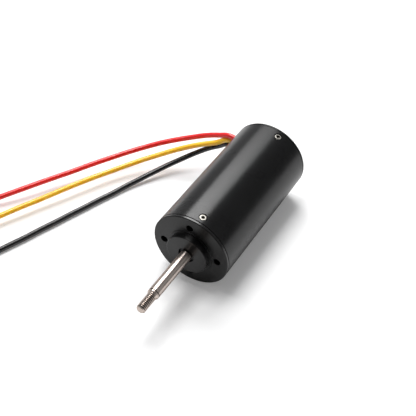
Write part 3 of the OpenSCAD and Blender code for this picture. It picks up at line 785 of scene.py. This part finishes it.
REAR_FACE_Y = 110
REAR_FLANGE_Y = TUBE_Y[1]
REAR_SPIGOT_Y = 98
REAR_WEB_Y = 107.5
REAR_HOLE_R = 7
SEAT_OUT_R = 13.22
SEAT_Y = 99.7
WINDOW_W = SLOT_W + 0.04
WINDOW_IN_R = 14.3

rear_cap = lathe([
    (REAR_HOLE_R, REAR_WEB_Y), (BEARING_R, REAR_WEB_Y), (BEARING_R, SEAT_Y),
    (SEAT_OUT_R, SEAT_Y), (SEAT_OUT_R, REAR_WEB_Y), (SPIGOT_IN_R, REAR_WEB_Y),
    (SPIGOT_IN_R, REAR_SPIGOT_Y), (SPIGOT_R, REAR_SPIGOT_Y), (SPIGOT_R, REAR_FLANGE_Y),
    (BODY_R - 0.2, REAR_FLANGE_Y), (BODY_R, REAR_FLANGE_Y + 0.2), (BODY_R, REAR_FACE_Y - 0.6),
    (BODY_R - 0.6, REAR_FACE_Y), (REAR_HOLE_R + 0.3, REAR_FACE_Y),
    (REAR_HOLE_R, REAR_FACE_Y - 0.3),
], 256)
soften(rear_cap, 0.1, angle=35, segments=3)
rear_cap = carve(rear_cap, lead_slot(WINDOW_W, REAR_SPIGOT_Y - 2, REAR_WEB_Y,
                                     inner=WINDOW_IN_R, outer=TUBE_IN_R + 1, corner=0.1))
rear_cap = carve(rear_cap, ring_of(screw_bore, *REAR_SCREWS))
add_piece("turned_rear_cap", rear_cap, [ANODISED_FACE], "stator", "rear_end_cap")


# Cap screws. Bright countersunk screws with a hexagon socket hold each cap through the tube.
# Their flat heads lie just under the tube's surface.

HEAD_R = 2.42
SHANK_R = 1.5
SCREW_LEN = 6
HALF_FLATS = 1.18
HEAD_SUNK = 0.2

SCREW_STEEL = finish("bright_screw_steel", (0.33, 0.315, 0.285), (0.42, 0.405, 0.37), 0.36, 0.46,
                     patch=3, grain=0.12, relief=0.004, Metallic=1.0)
# The socket is near black: painted shade inside it.
SHADED_SOCKET_STEEL = finish("shaded_socket_steel", (0.03, 0.026, 0.02), (0.06, 0.052, 0.04), 0.5, 0.6,
                      patch=1, grain=0.1, relief=0.004, Metallic=1.0)


def cap_screw():
    """Screw along Y with the top of its head at 0, and its socket in the second finish, whose
    near-black colour is painted shade.
    """
    head = lathe([
        (0, -SCREW_LEN), (SHANK_R - 0.2, -SCREW_LEN), (SHANK_R, 0.2 - SCREW_LEN),
        (SHANK_R, -1.3), (HEAD_R, -0.38), (HEAD_R, -0.25), (HEAD_R - 0.27, 0), (0, 0),
    ], 64, closed=False)
    soften(head, 0.05, angle=30)
    across = HALF_FLATS / math.cos(math.radians(30))
    key = lathe([
        (0, -1.7), (across, -1.3), (across, -0.12), (across + 0.14, 0.02), (across + 0.14, 1),
        (0, 1),
    ], 6, closed=False)
    screw = carve(head, key)
    second_finish(screw, lambda radius, y: y > -1.8 and radius < across + 0.01)
    return screw


for name, (y, angles) in (("front", FRONT_SCREWS), ("rear", REAR_SCREWS)):
    add_piece(name + "_countersunk_screws", ring_of(cap_screw, y, angles, BODY_R - HEAD_SUNK),
              [SCREW_STEEL, SHADED_SOCKET_STEEL], "stator", name + "_cap_screws")


# Shaft. Ground and polished steel. Its front end has a groove, a collar and a cone that lead to a
# coarse thread, cut in one helix with a chamfered start and a run-out at the cone. The groove, the
# roots of the thread and the part in the bore of the boss have a near-black second finish: painted
# shade where little light reaches.

SHAFT_R = 4.0
SHAFT_END_Y = 108.4
TIP_R = 3.175
TIP_Y = -57.5
CONE_Y = -44.2
COLLAR_Y = -43.4
GROOVE_Y = (-42.5, -41.9)
GROOVE_R = SHAFT_R - 0.5
BORE_Y = (-5.3, -3.4)
NECK_R = 3.7
NECK_Y = (-4.7, -3.5)
ROTOR_SEAT_R = 6
ROTOR_SEAT_Y = (18, 92)
CLIP_R = 3.75
CLIP_Y = (106.72, 107.56)
THREAD_PITCH = 1.27
THREAD_ROOT_R = 2.45
THREAD_STEPS = 40
START_CHAMFER = 0.7

GROUND_STEEL = turned(
    finish("ground_steel", (0.60, 0.52, 0.47), (0.68, 0.59, 0.535), 0.28, 0.33,
           patch=7, grain=0.2, relief=0.002, Metallic=1.0, Specular_Tint=(0.33, 0.3, 0.27, 1)),
    spacing=0.08, depth=0.0008, drawn_out=0.8,
)
# Near-black steel: painted shade in the groove, the thread's roots and the boss's bore.
PAINTED_SHADE_STEEL = finish("painted_shade_steel", (0.02, 0.017, 0.015), (0.045, 0.038, 0.034), 0.55, 0.65,
                     patch=2, grain=0.15, relief=0.003, Metallic=0.3, Specular_IOR_Level=0.2)


def thread():
    """One pitch of the thread's outline, wound along the tip and cut square at both ends."""
    middle_r = (THREAD_ROOT_R + TIP_R) / 2
    outline = [(THREAD_ROOT_R, 0), (THREAD_ROOT_R, 0.2), (middle_r, 0.37), (TIP_R, 0.54),
               (TIP_R, 0.66), (middle_r, 0.83), (THREAD_ROOT_R, 1)]
    turns = int((CONE_Y - TIP_Y) / THREAD_PITCH) + 4
    start = TIP_Y - 2 * THREAD_PITCH
    tip = bmesh.new()
    knots = [tip.verts.new((r * MM, (start + share * THREAD_PITCH) * MM, 0))
             for r, share in outline]
    wires = [tip.edges.new(pair) for pair in zip(knots, knots[1:])]
    bmesh.ops.spin(
        tip, geom=knots + wires, cent=(0, 0, 0), axis=(0, 1, 0),
        dvec=(0, THREAD_PITCH / THREAD_STEPS * MM, 0), angle=2 * math.pi * turns,
        steps=THREAD_STEPS * turns, use_merge=False, use_normal_flip=False,
        use_duplicate=False,
    )
    bmesh.ops.remove_doubles(tip, verts=tip.verts[:], dist=2e-6)
    for y, side in ((TIP_Y, -1), (CONE_Y + 0.4, 1)):
        cut = bmesh.ops.bisect_plane(
            tip, geom=tip.verts[:] + tip.edges[:] + tip.faces[:], dist=1e-7,
            plane_co=(0, y * MM, 0), plane_no=(0, side, 0), clear_outer=True, clear_inner=False,
        )
        rim = [e for e in cut["geom_cut"] if isinstance(e, bmesh.types.BMEdge)]
        bmesh.ops.edgeloop_fill(tip, edges=rim)
    for vert in tip.verts:
        y = vert.co.y / MM
        reach = math.hypot(vert.co.x, vert.co.z) / MM
        chamfer = min(TIP_R, TIP_R - START_CHAMFER + (y - TIP_Y))
        run_out = max(0, min(1, y - CONE_Y + 1.1))
        root = THREAD_ROOT_R + (TIP_R - THREAD_ROOT_R) * run_out
        wanted = max(min(reach, chamfer), min(root, chamfer))
        vert.co.x *= wanted / reach
        vert.co.z *= wanted / reach
    bmesh.ops.recalc_face_normals(tip, faces=tip.faces[:])
    return tip


def in_painted_shade(radius, y):
    """Whether a face lies in the groove, in a root of the thread or in the boss's bore, where the
    second finish paints shade.
    """
    in_groove = GROOVE_Y[0] - 0.05 < y < GROOVE_Y[1] + 0.05 and radius < SHAFT_R - 0.04
    in_root = TIP_Y + 0.6 < y < CONE_Y - 0.2 and 2 < radius < THREAD_ROOT_R + 0.3
    in_bore = BORE_Y[0] < y < BORE_Y[1]
    return in_groove or in_root or in_bore


plain = lathe([
    (0, CONE_Y), (TIP_R, CONE_Y), (SHAFT_R, COLLAR_Y), (SHAFT_R, GROOVE_Y[0]),
    (GROOVE_R, GROOVE_Y[0]), (GROOVE_R, GROOVE_Y[1]), (SHAFT_R, GROOVE_Y[1]),
    (SHAFT_R, BORE_Y[0]), (SHAFT_R, NECK_Y[0]), (NECK_R, NECK_Y[0]), (NECK_R, NECK_Y[1]),
    (SHAFT_R, NECK_Y[1]), (SHAFT_R, ROTOR_SEAT_Y[0]), (ROTOR_SEAT_R, ROTOR_SEAT_Y[0]),
    (ROTOR_SEAT_R, ROTOR_SEAT_Y[1]), (SHAFT_R, ROTOR_SEAT_Y[1]), (SHAFT_R, CLIP_Y[0]),
    (CLIP_R, CLIP_Y[0]), (CLIP_R, CLIP_Y[1]), (SHAFT_R, CLIP_Y[1]),
    (SHAFT_R, SHAFT_END_Y - 0.25), (SHAFT_R - 0.25, SHAFT_END_Y), (0, SHAFT_END_Y),
], 128, closed=False)
soften(plain, 0.07, angle=15)
rod = gather([plain, thread()])
second_finish(rod, in_painted_shade)
add_piece("polished_shaft", rod, [GROUND_STEEL, PAINTED_SHADE_STEEL], "rotor", "shaft")


# Ball bearings. Chrome-steel rings and balls, brass cages and pressed shields. The front one
# shows in the bore of the boss, and the rear one round the end of the shaft.

def dress(material, *nodes):
    """Gives solids that stay as they are a finish of their own."""
    for node in nodes:
        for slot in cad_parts[node].material_slots:
            slot.material = material


BEARING_STEEL = turned(
    finish("bearing_steel", (0.50, 0.50, 0.50), (0.62, 0.62, 0.61), 0.16, 0.3,
           patch=5, grain=0.2, relief=0.002, Metallic=1.0),
    spacing=0.1, depth=0.001,
)
# The shields are near black: painted shade of the bore they sit in.
SHADED_SHIELD_STEEL = finish("shaded_pressed_shield", (0.03, 0.03, 0.032), (0.05, 0.05, 0.052), 0.4, 0.5,
                      patch=4, grain=0.2, relief=0.003, Metallic=1.0)
CAGE_BRASS = finish("cage_brass", (0.46, 0.32, 0.12), (0.58, 0.42, 0.17), 0.3, 0.45,
                    patch=3, grain=0.2, relief=0.004, Metallic=1.0)
# Near black: painted shade on the inner rings, which sit deep in the bores.
SHADED_INNER_RING = finish("shaded_inner_ring_steel", (0.018, 0.018, 0.019), (0.032, 0.032, 0.033), 0.3, 0.4,
                    patch=4, grain=0.2, relief=0.002, Metallic=1.0)
for end in ("front", "rear"):
    dress(BEARING_STEEL, end + "_bearing_outer_ring", end + "_bearing_balls")
    dress(SHADED_INNER_RING, end + "_bearing_inner_ring")
    dress(SHADED_SHIELD_STEEL, end + "_bearing_shields")
    dress(CAGE_BRASS, end + "_bearing_cage")


# Stator. A stack of silicon-steel sheets with twelve teeth, end insulators of moulded nylon,
# and a coil of enamelled copper round each tooth. The coils' tails end in the leads' ferrules.

def layered(name, dark, light, smooth, dull, spacing, depth, **uniform):
    """Finish with fine parallel layers along Y, as sheets or turns of wire have."""
    material = finish(name, dark, light, smooth, dull, patch=6, grain=0.3, relief=0.004, **uniform)
    tree = material.node_tree
    bands = tree.nodes.new("ShaderNodeTexWave")
    bands.bands_direction = "Y"
    # At a scale of 1 the bands of a wave texture lie pi / 10 of a metre apart.
    bands.inputs["Scale"].default_value = math.pi / 10 / (spacing * MM)
    bands.inputs["Distortion"].default_value = 0.4
    layers = tree.nodes.new("ShaderNodeBump")
    layers.inputs["Distance"].default_value = depth * MM
    skin = tree.nodes["skin"]
    tree.links.new(skin.inputs["Vector"].links[0].from_socket, bands.inputs["Vector"])
    tree.links.new(bands.outputs["Fac"], layers.inputs["Height"])
    tree.links.new(layers.outputs["Normal"], tree.nodes["relief"].inputs["Normal"])
    return material


LAMINATIONS = layered("laminated_steel", (0.20, 0.205, 0.21), (0.30, 0.305, 0.31), 0.35, 0.5,
                      spacing=0.35, depth=0.03, Metallic=1.0)
COPPER_WIRE = layered("enamelled_copper", (0.40, 0.13, 0.045), (0.56, 0.21, 0.08), 0.22, 0.34,
                      spacing=0.7, depth=0.15, Metallic=0.9)
NYLON = finish("moulded_nylon", (0.60, 0.56, 0.44), (0.70, 0.66, 0.53), 0.42, 0.55,
               patch=6, grain=0.3, relief=0.01)
dress(LAMINATIONS, "stator_core", "rotor_core")
dress(COPPER_WIRE, "phase_a_coils", "phase_b_coils", "phase_c_coils", "lead_ferrules")
dress(NYLON, "front_insulator", "rear_insulator")


# Rotor. Four nickel-plated magnets on a steel core, held by a wound fibre bandage, with brass
# balance rings and steel spacers. A wave washer and a circlip at its rear end take up the play.

MAGNET = finish("nickel_magnet", (0.38, 0.39, 0.40), (0.48, 0.49, 0.50), 0.28, 0.4,
                patch=6, grain=0.25, relief=0.004, Metallic=1.0)
BANDAGE = layered("fibre_bandage", (0.014, 0.014, 0.015), (0.035, 0.035, 0.037), 0.3, 0.45,
                  spacing=1.2, depth=0.05)
BRASS = turned(
    finish("turned_brass", (0.50, 0.35, 0.12), (0.62, 0.45, 0.18), 0.24, 0.36,
           patch=6, grain=0.2, relief=0.003, Metallic=1.0),
    spacing=0.12, depth=0.003,
)
SPRING_STEEL = finish("oiled_spring_steel", (0.10, 0.10, 0.11), (0.17, 0.17, 0.18), 0.28, 0.42,
                      patch=3, grain=0.2, relief=0.004, Metallic=1.0)
dress(MAGNET, "rotor_magnets")
dress(BANDAGE, "magnet_sleeve")
dress(BRASS, "front_balance_ring", "rear_balance_ring")
dress(GROUND_STEEL, "front_spacer", "rear_spacer")
dress(SPRING_STEEL, "preload_washer", "shaft_circlip")


# Lead outlet. A moulded block of black silicone rubber sits in the tube's slot, and a lip inside
# the spigot keeps it there.

OUTLET_RUBBER = finish("outlet_rubber", (0.012, 0.012, 0.0125), (0.02, 0.02, 0.021), 0.5, 0.66,
                       patch=5, grain=0.3, relief=0.02)
dress(OUTLET_RUBBER, "lead_grommet")
